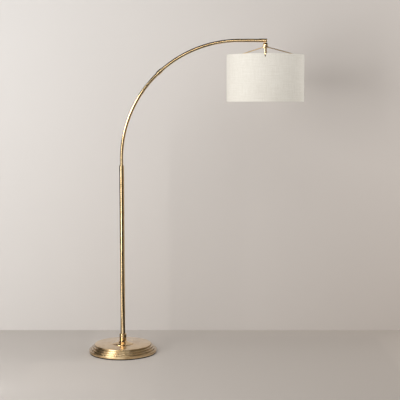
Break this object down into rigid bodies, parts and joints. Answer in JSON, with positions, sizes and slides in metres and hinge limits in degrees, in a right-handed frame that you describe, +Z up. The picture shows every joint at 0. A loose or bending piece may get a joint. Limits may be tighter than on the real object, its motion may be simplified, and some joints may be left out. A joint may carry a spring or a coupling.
{
  "type": "arc floor lamp",
  "caption": "Arc floor lamp: a drum shade hangs from a ball joint on a curved arm that turns in a pole on a weighted, stepped round base.",
  "frame": {"origin": "centre of the base's underside, on the floor", "axes": "+Z up along the pole, +X the way the arm reaches at rest, +Y to the back, where the cord inlet is"},
  "size_m": [1.2827, 0.4584, 1.8776],
  "materials": {
    "brushed_brass": "fine brushed, clear lacquered",
    "bare_brass": "turned, bare",
    "black_pad": "matte black",
    "black_steel": "satin black",
    "cast_iron": "as cast",
    "zinc_steel": "zinc plated",
    "black_rubber": "moulded black",
    "linen": "off-white plain-weave linen",
    "shade_lining": "white translucent styrene",
    "white_wire": "white powder coat",
    "black_phenolic": "moulded",
    "bulb_metal": "rolled thread shell",
    "frosted_glass": "frosted white",
    "lead_jacket": "clear gold jacket over copper"
  },
  "bodies": {
    "stand": {"base_pad": "black_pad", "base_plate": "black_steel", "plate_screws": "zinc_steel", "base_weight": "cast_iron", "base_cover": "brushed_brass", "cord_gland": "black_rubber", "stem_washer": "zinc_steel", "stem_lock_washer": "zinc_steel", "stem_nut": "zinc_steel", "stem_tube": "zinc_steel", "base_flange": "brushed_brass", "base_collar": "brushed_brass", "pole_foot_plug": "zinc_steel", "pole_lower": "brushed_brass", "pole_joiner": "zinc_steel", "pole_upper": "brushed_brass", "pole_top_bush": "brushed_brass", "arm_set_screw": "zinc_steel", "pole_lead": "lead_jacket"},
    "arm": {"arc_lower": "brushed_brass", "arc_inner_joiner": "zinc_steel", "arc_coupler": "brushed_brass", "coupler_screws": "zinc_steel", "arc_upper": "brushed_brass", "arm_end_sleeve": "brushed_brass", "arm_end_cap": "brushed_brass", "arm_lead": "lead_jacket"},
    "swivel": {"ball_stud": "brushed_brass", "stud_nut": "bare_brass", "swivel_lead": "lead_jacket"},
    "head": {"swivel_cup": "brushed_brass", "shade_hub": "brushed_brass", "spider_arm_front": "brushed_brass", "spider_arm_left": "brushed_brass", "spider_arm_right": "brushed_brass", "rim_clips": "brushed_brass", "head_stem": "brushed_brass", "socket_cap": "brushed_brass", "socket_shell": "brushed_brass", "cup_ring": "bare_brass", "head_pipe": "bare_brass", "pipe_nut": "bare_brass", "centre_contact": "bare_brass", "screw_shell": "bare_brass", "shade_fabric": "linen", "shade_liner": "shade_lining", "shade_top_ring": "white_wire", "shade_bottom_ring": "white_wire", "socket_insulator": "black_phenolic", "bulb_base": "bulb_metal", "bulb_glass": "frosted_glass", "head_lead": "lead_jacket"},
    "knob": {"switch_knob": "black_phenolic"}
  },
  "joints": [
    {"name": "arm_swing", "type": "hinge", "parent": "stand", "child": "arm", "pos_m": [0, 0, 1.1278], "axis": [0, 0, 1], "range_deg": [-170, 170]},
    {"name": "shade_turn", "type": "hinge", "parent": "arm", "child": "swivel", "pos_m": [0.851, 0, 1.85805], "axis": [0, 0, 1], "range_deg": [-170, 170]},
    {"name": "shade_tilt", "type": "hinge", "parent": "swivel", "child": "head", "pos_m": [0.851, 0, 1.84175], "axis": [0, 1, 0], "range_deg": [-15, 15]},
    {"name": "switch_turn", "type": "hinge", "parent": "head", "child": "knob", "pos_m": [0.851, -0.025, 1.74875], "axis": [0, -1, 0], "continuous": true}
  ]
}
